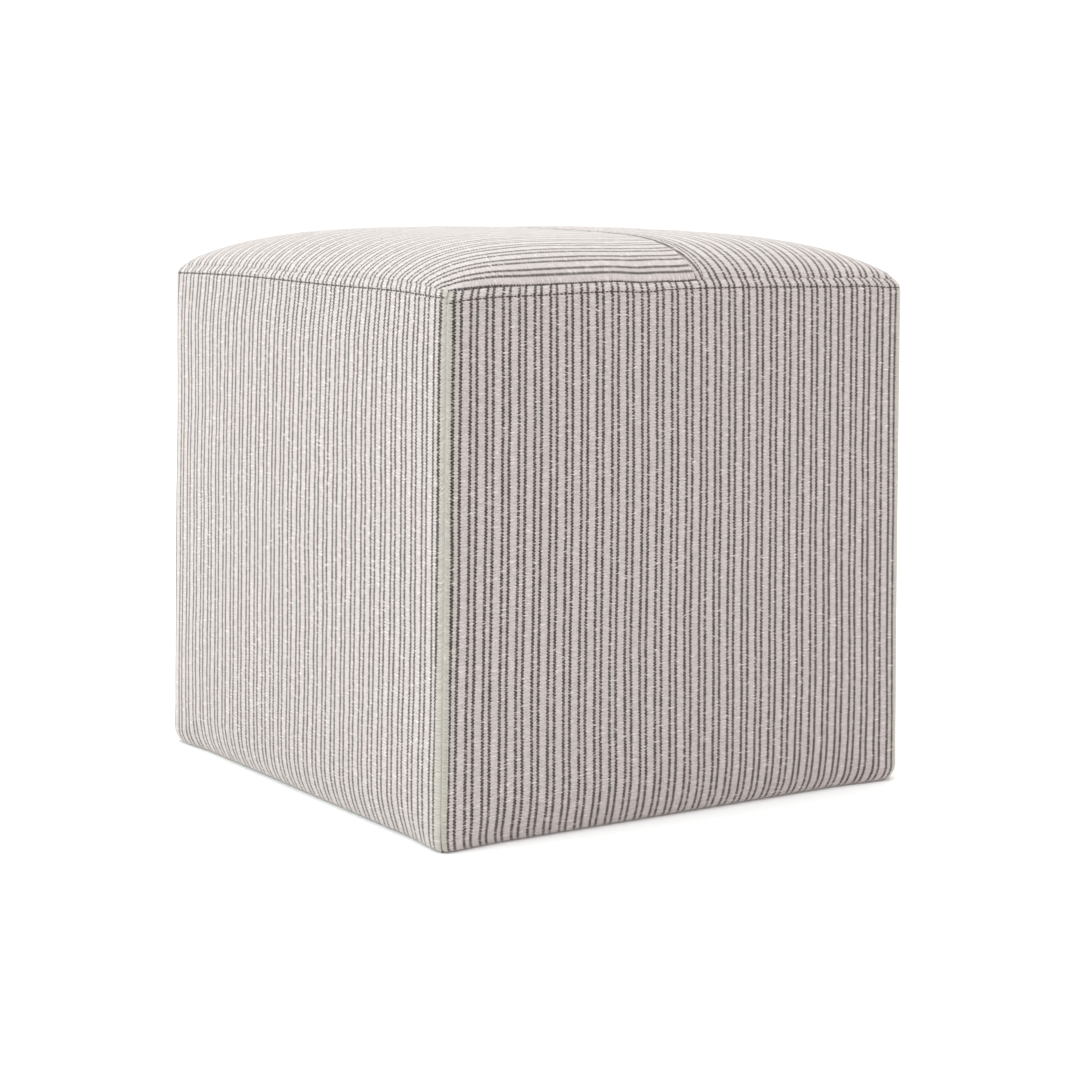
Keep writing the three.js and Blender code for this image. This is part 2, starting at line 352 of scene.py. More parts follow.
def welt_inset(height):
    """The puffed strip leans in from the topstitch to the top seam."""
    rise = np.clip((height - TOPSTITCH_HEIGHT) / (SEAM_HEIGHT - TOPSTITCH_HEIGHT), 0, 1)
    share, bend = STRIP_LEAN
    return share * SEAM_INSET * rise ** bend


def corner_radius(side, height, to_right):
    """Each upright corner is pressed a little sharper or blunter than the others, but not at its top."""
    radii = [CORNERS[(side["turn"] + hand) % 4] for hand in (0, 1)]
    low, more = (np.where(to_right, radii[1][i], radii[0][i]) for i in (0, 1))
    middle, reach = CORNER_BLUNTS
    usual = between(low, CORNER_RADIUS, smooth_step(height, 0, CORNER_SOFTENS))
    return usual + more * np.exp(-((height - middle) / reach) ** 2)


print("a side is tucked in at the floor by", tuck_inset(SIDES["front"], 0.0, TUCK_GROWS), "mm")

# %% Points of a side
def side_form(side, heights, columns):
    """Points of a side's smooth form as rows x columns x 3, facing the front."""
    share, turn = columns[:, 0][None, :], np.radians(columns[:, 1])[None, :]
    height = np.asarray(heights, float)[:, None]
    radius = corner_radius(side, height, share > 0)
    straight = half_width(height) - radius - welt_inset(height) - tuck_inset(side, height, 0.0)
    from_corner = (1 - np.abs(share)) * (BASE_WIDTH / 2 - CORNER_RADIUS)
    half = half_width(height) - welt_inset(height) - tuck_inset(side, height, from_corner)
    face_x = share * straight
    face_out = half + side_bulge(side, face_x, half, height)
    face_z = height + seam_lift(side, face_x, half, height) + wander(side, face_x, height)
    corner_x = np.sign(turn) * (straight + radius * np.sin(np.abs(turn)))
    corner_out = straight + radius * np.cos(turn)
    on_face = np.broadcast_to(turn == 0, face_x.shape)
    x = np.where(on_face, face_x, corner_x)
    out = np.where(on_face, face_out, corner_out)
    z = np.where(on_face, face_z, height + wander(side, corner_x, height))
    return np.stack([x, -out, z], -1)


def level_row(side, inset, level, columns):
    """A row of the side's outline at one level, this far inside the widest one."""
    share, turn = columns[:, 0], np.radians(columns[:, 1])
    radius = corner_radius(side, 0.0, share > 0)
    straight = half_width(0.0) - inset - radius
    x = np.where(turn == 0, share * straight, np.sign(turn) * (straight + radius * np.sin(np.abs(turn))))
    return np.stack([x, -(straight + radius * np.cos(turn)), np.full_like(x, level)], -1)


middle_point = side_form(SIDES["front"], [TOPSTITCH_HEIGHT / 2], np.array([(0.0, 0.0)]))
print(f"the front's middle stands {-middle_point[0, 0, 1]:.1f} mm out before it is filled")

# %% Rows and columns of a side
UNDER_ROWS = 3                          # rows that turn under to the base, below the first height
STITCH_ROWS = np.arange(-4, 2.01, 0.5)  # mm from the topstitch, close enough to draw its groove
STRIP_ROWS = 9                          # from the last of these to the top seam


def side_heights(spacing):
    """Heights of the rows from the floor to the seam, closer at the edge and at the stitches."""
    edge = TURN_UNDER * (1 - np.cos(np.radians(np.arange(0, 90, 10))))
    near = TOPSTITCH_HEIGHT + STITCH_ROWS
    face = np.arange(TURN_UNDER, near[0] - 1, spacing)
    strip = np.linspace(near[-1] + 0.6, SEAM_HEIGHT, STRIP_ROWS)
    return np.concatenate([edge, face, near, strip])


def side_columns(spacing, turns):
    """Columns as (share of the straight face, degrees round the corner)."""
    count = int(round((BASE_WIDTH - 2 * CORNER_RADIUS) / spacing))
    face = [(share, 0.0) for share in np.linspace(-1, 1, count + 1)]
    return np.array([(-1.0, -a) for a in reversed(turns)] + face + [(1.0, a) for a in turns])


def flat_across(columns):
    """Place of the columns on the flat cloth, in mm from the middle."""
    return columns[:, 0] * (BASE_WIDTH / 2 - CORNER_RADIUS) + CORNER_RADIUS * np.radians(columns[:, 1])


def arc_length(points, axis):
    """Length along the cloth from the first row or column, at every point of a grid."""
    steps = np.linalg.norm(np.diff(points, axis=axis), axis=-1)
    start = np.zeros_like(np.take(steps, [0], axis=axis))
    return np.cumsum(np.concatenate([start, steps], axis=axis), axis=axis)


FINE_TURNS = [3, 7, 12, 17, 22, 27, 31, 35, 38, 40.5, 42.5, 44, 45]
SPACING = 2.2
print("rows of a side", len(side_heights(SPACING)), "columns", len(side_columns(SPACING, FINE_TURNS)))

# %% [markdown]
# ## Form of the top
# The top is two half panels joined a little right of the middle. The filling crowns it: it
# stands up steeply at the seams and is nearly level in the middle. Two section curves,
# multiplied, give such a crown, and each seam draws its own line into it. A subdivided plane
# with a Cast modifier would be quicker, but could not follow the sides' seams.

# %% Form of the top halves
TOP_HALF = TOPSTITCH_WIDTH / 2 - SEAM_INSET - GAP
CROWN_FRONT = (5.8, 0.61)  # (edge, rise) of the section: 1 - place ** edge, to the power rise
CROWN_BACK = (2.0, 0.35)
CROWN_LEFT = (6.3, 0.71)
CROWN_RIGHT = (3.1, 0.44)
SEAM_REACH = 6       # power by which the top follows its seams: high, so only near them
CROWN_SETTLED = 0.2  # mm that the crown starts lower, before its filling


def crown_section(place, section):
    edge, rise = section
    return np.clip(1 - np.abs(place) ** edge, 0, 1) ** rise


def round_plan(x, y):
    """Bends the square corners of the plan onto the round corners of the cover."""
    straight = TOP_HALF - CORNER_RADIUS
    beyond_x = (np.abs(x) - straight) / CORNER_RADIUS
    beyond_y = (np.abs(y) - straight) / CORNER_RADIUS
    ring = np.maximum(beyond_x, beyond_y)
    steep = beyond_x > beyond_y
    ratio = np.where(steep, beyond_y, beyond_x) / np.maximum(ring, 1e-6)
    angle = np.where(steep, ratio * math.pi / 4, math.pi / 2 - ratio * math.pi / 4)
    corner = (beyond_x > 0) & (beyond_y > 0)
    new_x = np.sign(x) * (straight + ring * CORNER_RADIUS * np.cos(angle))
    new_y = np.sign(y) * (straight + ring * CORNER_RADIUS * np.sin(angle))
    return np.where(corner, new_x, x), np.where(corner, new_y, y)


def top_form(half, from_seam, ys):
    """Points of a top half, rows front to back and columns away from the centre seam."""
    hand = half["hand"]
    plan_x, plan_y = np.meshgrid(CENTRE_SEAM + hand * from_seam, ys)
    x, y = round_plan(plan_x, plan_y)
    front, back, flank = SIDES["front"], SIDES["back"], SIDES["right" if hand > 0 else "left"]
    at_seam = (TOP_HALF, TOPSTITCH_HEIGHT)
    end_bulge = np.where(plan_y < 0, -side_bulge(front, x, *at_seam), side_bulge(back, x, *at_seam))
    end_lift = np.where(plan_y < 0, seam_lift(front, x, *at_seam) + wander(front, x, SEAM_HEIGHT),
                        seam_lift(back, x, *at_seam) + wander(back, -x, SEAM_HEIGHT))
    flank_bulge = hand * side_bulge(flank, y, *at_seam)
    flank_lift = seam_lift(flank, y, *at_seam) + wander(flank, hand * y, SEAM_HEIGHT)
    near_end = np.abs(plan_y / TOP_HALF) ** SEAM_REACH
    near_flank = np.abs(plan_x / TOP_HALF) ** SEAM_REACH * (np.sign(plan_x) == hand)
    rim = SEAM_HEIGHT + near_end * end_lift + near_flank * flank_lift
    across = crown_section(plan_x / TOP_HALF, CROWN_RIGHT if hand > 0 else CROWN_LEFT)
    ends = (crown_section(plan_y / TOP_HALF, section) for section in (CROWN_FRONT, CROWN_BACK))
    along = np.where(plan_y < 0, *ends)
    z = between(rim, CROWN_HEIGHT - CROWN_SETTLED, across * along)
    return np.stack([x + near_flank * flank_bulge, y + near_end * end_bulge, z], -1)


print("the top halves reach", round(TOP_HALF, 1), "mm from the middle")

# %% Rows and columns of a top half
FIRST_STEP = 0.4                            # mm, from a seam to the first row or column
GROWING_STEPS = 9                           # until the rows have their usual spacing
STITCH_COLUMNS = np.arange(-2.4, 2.5, 0.6)  # mm from the topstitch beside the centre seam
STITCH_CLEAR = 2.9                          # mm on each side that these columns fill


def graded(length, spacing):
    """Places from 0 to length, closer at both ends."""
    steps = np.cumsum(np.geomspace(FIRST_STEP, spacing, GROWING_STEPS))
    count = max(2, int(round((length - steps[-1] - steps[-1]) / spacing)))
    middle = np.linspace(steps[-1], length - steps[-1], count + 1)
    return np.concatenate([[0], steps[:-1], middle, length - steps[:-1][::-1], [length]])


def top_places(half, spacing):
    """Places of the columns away from the centre seam, and of the rows front to back."""
    length = TOP_HALF - half["hand"] * CENTRE_SEAM
    from_seam = graded(length - GAP / 2, spacing) + GAP / 2
    if half["hand"] > 0:
        kept = from_seam[np.abs(from_seam - CENTRE_TOPSTITCH) > STITCH_CLEAR]
        from_seam = np.sort(np.concatenate([kept, CENTRE_TOPSTITCH + STITCH_COLUMNS]))
    return from_seam, graded(2 * TOP_HALF, spacing) - TOP_HALF


for name, half in TOP_HALVES.items():
    form = top_form(half, *top_places(half, SPACING))
    print(f"{name} top half: {form.shape[:2]} rows and columns, highest {form[..., 2].max():.1f} mm")

# %% [markdown]
# ## Filling the cover
# The formulas give the measured shape, but not what a filling does to cloth between its
# seams. A cloth simulation does: each panel becomes a coarse sheet, pinned along its seams,
# and pressure from inside blows it out for twenty frames. It swells by 20 mm, with puckers
# that run in from the seams. The real filling is firm, so the move of each point is scaled
# until the fullest one moves by the panel's own swell of a few millimetres, and the panels
# start that much smaller. The seams come after it, since grooves narrower than a few
# millimetres would be lost in a coarse sheet.

# %% Coarse panels for the simulation
COARSE = 7.0       # mm between the points of the coarse sheets
COARSE_TURNS = [11, 22, 33, 45]


def grid_faces(rows, columns, first=0):
    """Quads of a grid of points that starts at the point number first."""
    index = first + np.arange(rows * columns).reshape(rows, columns)
    return np.stack([index[:-1, :-1], index[:-1, 1:], index[1:, 1:], index[1:, :-1]], -1).reshape(-1, 4)


def border_mask(rows, columns):
    mask = np.zeros((rows, columns), bool)
    mask[[0, -1], :] = True
    mask[:, [0, -1]] = True
    return mask


coarse_columns = side_columns(COARSE, COARSE_TURNS)
coarse_heights = np.linspace(TURN_UNDER, TOPSTITCH_HEIGHT, int(TOPSTITCH_HEIGHT / COARSE))
coarse = {}
for name, side in SIDES.items():
    coarse["side_" + name] = side_form(side, coarse_heights, coarse_columns)
for name, half in TOP_HALVES.items():
    length = TOP_HALF - half["hand"] * CENTRE_SEAM
    from_seam = np.linspace(0, length, int(length / COARSE))
    ys = np.linspace(-TOP_HALF, TOP_HALF, int(2 * TOP_HALF / COARSE))
    coarse["top_" + name] = top_form(half, from_seam, ys)
print("coarse sheets:", {name: form.shape[:2] for name, form in coarse.items()})

# %% Simulate the filling
PRESSURE = 4.0
FRAMES = 20
EASE = 0.006       # the cloth is cut this share larger than the seams, so that it can puff


def blow_out(sheets):
    """The coarse sheets after the simulation."""
    points = np.concatenate([sheet.reshape(-1, 3) for sheet in sheets])
    faces, pinned, first = [], [], 0
    for sheet in sheets:
        rows, columns = sheet.shape[:2]
        faces += grid_faces(rows, columns, first).tolist()
        pinned += (first + np.flatnonzero(border_mask(rows, columns))).tolist()
        first += rows * columns
    mesh = bpy.data.meshes.new("coarse_cover")
    mesh.from_pydata((points * MM).tolist(), [], faces)
    cover = bpy.data.objects.new("coarse_cover", mesh)
    bpy.context.scene.collection.objects.link(cover)
    cover.vertex_groups.new(name="seams").add(pinned, 1.0, "REPLACE")
    cloth = cover.modifiers.new("filling", "CLOTH")
    settings = cloth.settings
    settings.vertex_group_mass = "seams"
    settings.use_pressure = True
    settings.uniform_pressure_force = PRESSURE
    settings.shrink_min = -EASE
    settings.quality = 6
    settings.effector_weights.gravity = 0
    cloth.point_cache.frame_end = FRAMES
    for frame_number in range(1, FRAMES + 1):
        bpy.context.scene.frame_set(frame_number)
    blown = cover.evaluated_get(bpy.context.evaluated_depsgraph_get()).to_mesh()
    result = np.empty(len(points) * 3)
    blown.vertices.foreach_get("co", result)
    bpy.context.scene.frame_set(1)
    bpy.data.objects.remove(cover)
    return result.reshape(-1, 3) / MM


print("pressure", PRESSURE, "for", FRAMES, "frames")

# %% Keep the firm share of the swelling
def grid_normals(points):
    """Direction across a grid at every point: outward where columns run to the right."""
    normal = np.cross(np.gradient(points, axis=1), np.gradient(points, axis=0))
    return normal / np.maximum(np.linalg.norm(normal, axis=-1, keepdims=True), 1e-9)


full_swell = {"side_" + name: side["swell"] for name, side in SIDES.items()}
full_swell.update({"top_" + name: half["swell"] for name, half in TOP_HALVES.items()})
swelling = {}
# the columns of the left half of the top run to the left, so it is turned over to face up
facing = {name: form[:, ::-1] if name == "top_left" else form for name, form in coarse.items()}
blown, first = blow_out(facing.values()), 0
for name, form in facing.items():
    rows, columns = form.shape[:2]
    moved = blown[first:first + rows * columns].reshape(form.shape) - form
    first += rows * columns
    outward = (moved * grid_normals(form)).sum(-1)
    kept = outward * full_swell[name] / outward.max()
    swelling[name] = kept[:, ::-1] if name == "top_left" else kept
    print(f"{name}: blown out by {outward.max():.1f} mm, kept {kept.min():.1f} to {kept.max():.1f} mm")

# %% [markdown]
# ## Unevenness and puckers
# The weave and the filling leave hollows and swellings smaller than a coarse sheet shows.
# Value noise, a lattice of random heights with soft steps between, gives them at a chosen
# size. Along the topstitch the needle gathers the cloth, so short upright puckers fade out
# below it. The lattice comes from a seeded generator, so the pouf is the same every time.

# %% Soft noise
LATTICE = 64                  # heights each way, after which they repeat
LATTICE_START = (31.7, 17.3)  # where the middle of a panel lies on it


def soft_noise(across, along, size, seed):
    """Smooth noise from -1 to 1 over the cloth, with swellings of about size mm."""
    lattice = np.random.default_rng(seed).uniform(-1, 1, (LATTICE, LATTICE))
    u, v = across / size[0] + LATTICE_START[0], along / size[1] + LATTICE_START[1]
    i, j = np.floor(u).astype(int), np.floor(v).astype(int)
    s, t = smooth_step(u - i, 0, 1), smooth_step(v - j, 0, 1)
    left, right_of = i % LATTICE, (i + 1) % LATTICE
    below, above_it = j % LATTICE, (j + 1) % LATTICE
    near = between(lattice[left, below], lattice[right_of, below], s)
    far = between(lattice[left, above_it], lattice[right_of, above_it], s)
    return between(near, far, t)


one_line = soft_noise(np.arange(100.0), np.zeros(100), (10, 10), 0)
print(f"soft noise from {one_line.min():.2f} to {one_line.max():.2f}")

# %% Rumples and puckers
RUMPLES = [  # height in mm, and size across and along the cloth in mm
    (0.40, (70, 55)),
    (0.20, (26, 13)),
    (0.10, (12, 5)),
]
PUCKER = 0.35         # mm high at the topstitch
PUCKER_WIDTH = 4.5    # mm, half a pucker
PUCKER_REACH = 11     # mm from the stitches, where a pucker has sunk to a third


def rumples(across, along, seed):
    return sum(h * soft_noise(across, along, size, seed + n) for n, (h, size) in enumerate(RUMPLES))


def puckers(across, from_stitch, seed):
    """Short puckers square to a line of stitches, gone after a few centimetres."""
    ripple = soft_noise(across, across * 0 + seed, (PUCKER_WIDTH, 50), seed)
    return PUCKER * ripple * np.exp(-np.abs(from_stitch) / PUCKER_REACH)


def resample(values, from_rows, from_columns, rows, columns):
    """Values of a coarse grid read at the rows and columns of a fine one."""
    tall = np.stack([np.interp(rows, from_rows, values[:, j]) for j in range(values.shape[1])], 1)
    return np.stack([np.interp(columns, from_columns, line) for line in tall])


def softened(values, times):
    """Averages each point with its neighbours, which rounds the kinks of a coarse grid."""
    for _ in range(times):
        padded = np.pad(values, 1, mode="edge")
        values = (4 * values + padded[:-2, 1:-1] + padded[2:, 1:-1]
                  + padded[1:-1, :-2] + padded[1:-1, 2:]) / 8
    return values


print("puckers of", PUCKER, "mm, rumples of", ", ".join(f"{h} mm" for h, size in RUMPLES))

# %% [markdown]
# ## From a grid to a closed piece
# Each panel stands for its cloth and the filling right behind it, so it is a closed body:
# the grid of cloth in front, and straight lines from its border to one point inside.
# The cloth's own coordinates go along as an attribute in millimetres, across and along the
# stripes, so the weave follows the panel as it was cut, whatever its shape. A UV map that
# gives nearly all of the square to the visible cloth lets the pattern be baked sharply.

# %% Closed panels
PANEL_STEP = 37.0   # each panel's number times this keeps its yarns unlike the others'
UV_STRIP = 0.03     # height of the strip of the square that holds the hidden closing faces
UV_MARGIN = 0.01


def panel_uvs(points, quads, closing):
    """Places on the square: the cloth above a strip that holds the hidden closing faces."""
    share_x = arc_length(points, 1) / arc_length(points, 1)[:, -1:]
    share_y = arc_length(points, 0) / arc_length(points, 0)[-1:]
    u = UV_MARGIN + (1 - 2 * UV_MARGIN) * share_x
    v = UV_STRIP + UV_MARGIN + (1 - 2 * UV_MARGIN - UV_STRIP) * share_y
    front = np.stack([u.ravel(), v.ravel()], -1)[quads.ravel()]
    place = np.arange(closing) / closing
    step = 0.9 / closing
    corners_u = np.stack([place + step, place, place + step / 2], -1)
    corners_v = np.broadcast_to([0.0, 0.0, 0.8 * UV_STRIP], (closing, 3))
    back = np.stack([corners_u, corners_v], -1).reshape(-1, 2)
    return np.concatenate([front, back])


def panel(name, points, pattern_across, pattern_along, inner, cloth_number):
    """Makes the object of a panel from its grid of points, closed to the inner point."""
    rows, columns = points.shape[:2]
    index = np.arange(rows * columns).reshape(rows, columns)
    quads = grid_faces(rows, columns)
    border = np.concatenate([index[0, :-1], index[:-1, -1], index[-1, :0:-1], index[:0:-1, 0]])
    closing = np.stack([np.roll(border, -1), border, np.full_like(border, rows * columns)], -1)
    vertices = np.concatenate([points.reshape(-1, 3), [inner]]) * MM
    mesh = bpy.data.meshes.new(name)
    mesh.from_pydata(vertices.tolist(), [], quads.tolist() + closing.tolist())

    cloth = np.zeros((len(vertices), 3), np.float32)
    cloth[:-1, 0], cloth[:-1, 1] = pattern_across.ravel(), pattern_along.ravel()
    cloth[:, 2] = PANEL_STEP * cloth_number
    mesh.attributes.new("cloth_mm", "FLOAT_VECTOR", "POINT").data.foreach_set("vector", cloth.ravel())
    uv_map = mesh.uv_layers.new(name="OFBake")
    uv_map.data.foreach_set("uv", panel_uvs(points, quads, len(closing)).ravel())
    mesh.polygons.foreach_set("use_smooth", [True] * len(mesh.polygons))
    mesh.set_sharp_from_angle(angle=math.radians(50))
    mesh.update()
    piece = bpy.data.objects.new(name, mesh)
    bpy.context.scene.collection.objects.link(piece)
    return piece


print("each panel is closed to a point near the middle of the cube")

# %% Seams on a panel
def turned(points, quarter_turns):
    """The points turned about the upright axis."""
    c, s = ((1, 0), (0, 1), (-1, 0), (0, -1))[quarter_turns]
    return points @ np.array([[c, s, 0], [-s, c, 0], [0, 0, 1.0]])


def pressed(distance, depth, width):
    """Depth of a seam or a stitched groove at a distance from its line."""
    return depth * np.exp(-(distance / width) ** 2)


SEAM_WIDTH, STITCH_WIDTH = 1.2, 1.0   # mm, how far beside its line each pulls the cloth in
CALM = {  # mm from each line, between which the unevenness of the cloth grows from nothing
    "corner": (6, 40),
    "floor": (4, 30),
    "topstitch": (3, 30),
    "top_edge": (4, 40),
    "centre_seam": (3, 25),
}
GATHERS_GROW = (0, 10)   # and the puckers, from a corner
SOFTENINGS = 6           # of the coarse sheets' swelling
print(f"a seam has {pressed(SEAM_WIDTH, 1.0, SEAM_WIDTH):.0%} of its depth {SEAM_WIDTH} mm beside it")

# %% Cloth of the sides
columns = side_columns(SPACING, FINE_TURNS)
heights = side_heights(SPACING)
across_cloth = flat_across(columns)
FOLD_CLOSES = (5, 24)        # mm high, between which the small fold at the foot of a corner closes
FOLD = (0.8, 0.5)            # share of the seam's dip, and mm between the two sides, in the fold
CLOSED = (0.3, 0.1)          # and above it
BEHIND_TOP = (0.985, 1.2)    # how far in, as a share, and how many mm down the last row goes


def side_cloth(number, name, side):
    """Points of a side's cloth: its form, filled, gathered and drawn in by its seams."""
    form = side_form(side, heights, columns)
    from_stitch = TOPSTITCH_HEIGHT - heights[:, None]
    from_corner = across_cloth.max() - np.abs(across_cloth)[None, :]
    sheet = swelling["side_" + name]
    swell = resample(sheet, coarse_heights, flat_across(coarse_columns), heights, across_cloth)
    swell = softened(swell * (from_stitch > 0), SOFTENINGS)
    calm = smooth_step(from_corner, *CALM["corner"]) * smooth_step(heights[:, None], *CALM["floor"])
    uneven = rumples(across_cloth[None, :], heights[:, None], 10 * number)
    uneven = uneven * calm * smooth_step(from_stitch, *CALM["topstitch"])
    gathers = puckers(across_cloth[None, :], from_stitch, 50 + number)
    gathers = gathers * smooth_step(from_corner, *GATHERS_GROW)
    closed = smooth_step(heights[:, None], *FOLD_CLOSES)
    corner_dip, slit = (between(fold, seam, closed) for fold, seam in zip(FOLD, CLOSED))
    groove = pressed(from_stitch, TOPSTITCH_DIP, STITCH_WIDTH)
    groove = groove + pressed(from_corner, corner_dip * SEAM_DIP, SEAM_WIDTH)
    points = form + grid_normals(form) * (swell + uneven + gathers - groove)[..., None]
    limit = -points[..., 1] - slit / math.sqrt(2)   # stay on this side of the corner seams
    points[..., 0] = np.clip(points[..., 0], -limit, limit)
    return points


def turned_in(side, points):
    """The points with the rows that turn under to the base and in behind the top."""
    base_rise = level_row(side, LOWER_EDGE_INSET, BASE_CLOTH + GAP, columns)
    base_seam = level_row(side, LOWER_EDGE_INSET, 0.0, columns)
    share, down = BEHIND_TOP
    behind_top = points[-1] * np.array([share, share, 1]) - np.array([0, 0, down])
    below = [base_rise, base_seam, (base_seam + points[0]) / 2]
    points = np.concatenate([below, points, [behind_top]])
    under = points[:UNDER_ROWS]
    under[..., 0] = np.clip(under[..., 0], under[..., 1] + GAP, -under[..., 1] - GAP)
    return points


print("a side's cloth is", round(2 * across_cloth.max()), "mm across between its corner seams")

# %% Side panels
cover, stitch_lines = {}, {}
stitch_row = UNDER_ROWS + int(np.argmin(np.abs(heights - TOPSTITCH_HEIGHT)))
inner = np.array([0, -1.0, (SEAT_HEIGHT + BASE_CLOTH) / 2])
for number, (name, side) in enumerate(SIDES.items()):
    points = turned_in(side, side_cloth(number, name, side))
    along = arc_length(points, 0)
    along = along - along[UNDER_ROWS]
    lean = stripe_lean(side, across_cloth[None, :], along)
    across = across_cloth[None, :] / side["stretch"] - side["shift"] - lean
    across = np.clip(across, -SEAM_BLANK, SEAM_BLANK)   # the corner seams take in what lies beyond
    points, closed_to = turned(points, side["turn"]), turned(inner, side["turn"])
    cover["side_panel_" + name] = panel("cloth_side_" + name, points, across, along, closed_to, number)
    stitch_lines[name] = points[stitch_row]
print("side panels:", {p.name: len(p.data.polygons) for p in cover.values()})

# %% Cloth of the top
CENTRE_SEAM_DIP = 0.5 * SEAM_DIP          # mm that it pulls each half down
CENTRE_STITCH_DIP = 0.7 * TOPSTITCH_DIP
CENTRE_STITCH_WIDTH = 1.1
SELVEDGE = (0.997, 3.0)                   # how far in, as a share, and how many mm down it goes
CENTRE_SELVEDGE_DOWN = 2.5                # mm straight down, in the centre seam


def top_cloth(number, name, half, from_seam, ys):
    """Points of a top half's cloth: its form, filled, gathered and drawn in by its seams."""
    hand, sheet = half["hand"], swelling["top_" + name]
    length = TOP_HALF - hand * CENTRE_SEAM
    form = top_form(half, from_seam, ys)
    sheet_ys = np.linspace(-TOP_HALF, TOP_HALF, sheet.shape[0])
    sheet_places = np.linspace(0, length, sheet.shape[1])
    swell = softened(resample(sheet, sheet_ys, sheet_places, ys, from_seam), SOFTENINGS)
    from_edge = np.minimum(TOP_HALF - np.abs(ys)[:, None], (length - from_seam)[None, :])
    calm = smooth_step(from_edge, *CALM["top_edge"]) * smooth_step(from_seam, *CALM["centre_seam"])[None, :]
    uneven = rumples((hand * from_seam)[None, :], ys[:, None], 10 * number) * calm
    from_stitch = from_seam - (CENTRE_TOPSTITCH if hand > 0 else 0)
    gathers = puckers(ys[:, None], from_stitch[None, :], 50 + number)
    gathers = gathers * smooth_step(from_edge, *GATHERS_GROW)
    groove = pressed(from_seam, CENTRE_SEAM_DIP, SEAM_WIDTH)[None, :]
    if hand > 0:
        groove = groove + pressed(from_stitch, CENTRE_STITCH_DIP, CENTRE_STITCH_WIDTH)[None, :]
    return form + hand * grid_normals(form) * (swell + uneven + gathers - groove)[..., None]


def with_selvedge(half, points):
    """Adds a row or column at each border that goes down behind the neighbouring panels."""
    hand = half["hand"]
    around = np.pad(points, ((1, 1), (1, 1), (0, 0)), mode="edge")
    edge = border_mask(*around.shape[:2])
    share, down = SELVEDGE
    around[edge] = around[edge] * np.array([share, share, 1]) - np.array([0, 0, down])
    around[:, 0] = around[:, 1] - np.array([0, 0, CENTRE_SELVEDGE_DOWN])
    beyond = hand * (around[..., 0] - CENTRE_SEAM) < GAP / 2
    around[..., 0] = np.where(beyond, CENTRE_SEAM + hand * GAP / 2, around[..., 0])
    return around


print("the top halves part", CENTRE_SEAM, "mm right of the middle")

# %% Stripes of the top
LEFT_PAIR, RIGHT_PAIR = 8.5, 20.5   # mm from the middle to a pair of stripes of each half
EASED = (1.019, 0.0002)             # stretch of the stripes at the left seam, and its change per mm
AWAY = (1.042, 3.9)                 # their stretch and shift far from that seam
LEFT_REACH = 90                     # mm, from the one to the other
RIGHT_STRETCH = 1.0085
FRONT_PULL = (5.2, 17)              # mm that the front seam shifts the stripes, and its reach
CENTRE_WAVE = (0.6, 47, 9)          # height, length and reach of the wave beside the centre seam


def flat_places(half, points):
    """Places on the flat cloth: even steps along each line, whole lengths as cut."""
    hand = half["hand"]
    length = TOP_HALF - hand * CENTRE_SEAM
    length_y, length_x = arc_length(points, 0), arc_length(points, 1)
    whole_y = length_y[-2:-1] - length_y[1:2]
    whole_x = length_x[:, -2:-1] - length_x[:, 1:2]
    even_y = TOP_HALF * (2 * (length_y - length_y[1:2]) / whole_y - 1)
    even_x = CENTRE_SEAM + hand * length * (length_x - length_x[:, 1:2]) / whole_x
    return even_x, even_y


def left_stripes(even_y, from_seam):
    """Stripes run left to right. At the left seam they lie closer near the front."""
    from_pair = even_y - LEFT_PAIR
    at_seam = from_pair * (EASED[0] - EASED[1] * from_pair)
    away = AWAY[0] * from_pair - AWAY[1]
    from_left = (TOP_HALF + CENTRE_SEAM) - from_seam[None, :]
    return between(at_seam, away, smooth_step(from_left, 0, LEFT_REACH))


def right_stripes(even_x, even_y, from_seam):
    """Stripes run front to back. The front seam shifts them, and the centre seam waves them."""
    shift, front_reach = FRONT_PULL
    pulled = shift * np.exp(-(even_y + TOP_HALF) / front_reach)
    height, length, reach = CENTRE_WAVE
    waved = height * np.sin(even_y / length) * np.exp(-from_seam / reach)
    return (even_x - RIGHT_PAIR - pulled) * RIGHT_STRETCH + waved


print("pairs of stripes", LEFT_PAIR, "mm and", RIGHT_PAIR, "mm from the middle")

# %% Top panels
for number, (name, half) in enumerate(TOP_HALVES.items(), len(SIDES)):
    hand = half["hand"]
    from_seam, ys = top_places(half, SPACING)
    points = with_selvedge(half, top_cloth(number, name, half, from_seam, ys))
    even_x, even_y = flat_places(half, points)
    if hand > 0:
        stitch_lines["centre"] = points[1:-1, 1 + int(np.argmin(np.abs(from_seam - CENTRE_TOPSTITCH)))]
    from_seam = np.pad(from_seam, 1, mode="edge")
    if hand > 0:
        across, along = right_stripes(even_x, even_y, from_seam), even_y
    else:  # turned over, so that its columns run to the right too
        across, along = left_stripes(even_y, from_seam), even_x
        points, across, along = (grid[:, ::-1] for grid in (points, across, along))
    inner = np.array([hand * TOP_HALF / 2, 0, SEAT_HEIGHT + GAP])
    cover["top_panel_" + name] = panel("cloth_top_" + name, points, across, along, inner, number)
print("top panels:", {p.name: len(p.data.polygons) for p in list(cover.values())[len(SIDES):]})

# %% Tell the frame what the panels are
for node, piece in cover.items():
    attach(piece, "root")
    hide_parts(node)
print("panels:", {p.name: len(p.data.polygons) for p in cover.values()})

# %% [markdown]
# ## Topstitching
# A line of stitches holds the seam allowance down all round the top, and another runs beside
# the centre seam. On the real cover each stitch is a short bar of thread, sunk where the
# needle goes through. Each is modelled as a small six-sided bar, thinner at its ends.
# A curve with a bevel would make one smooth wire, without the breaks that tell of sewing.

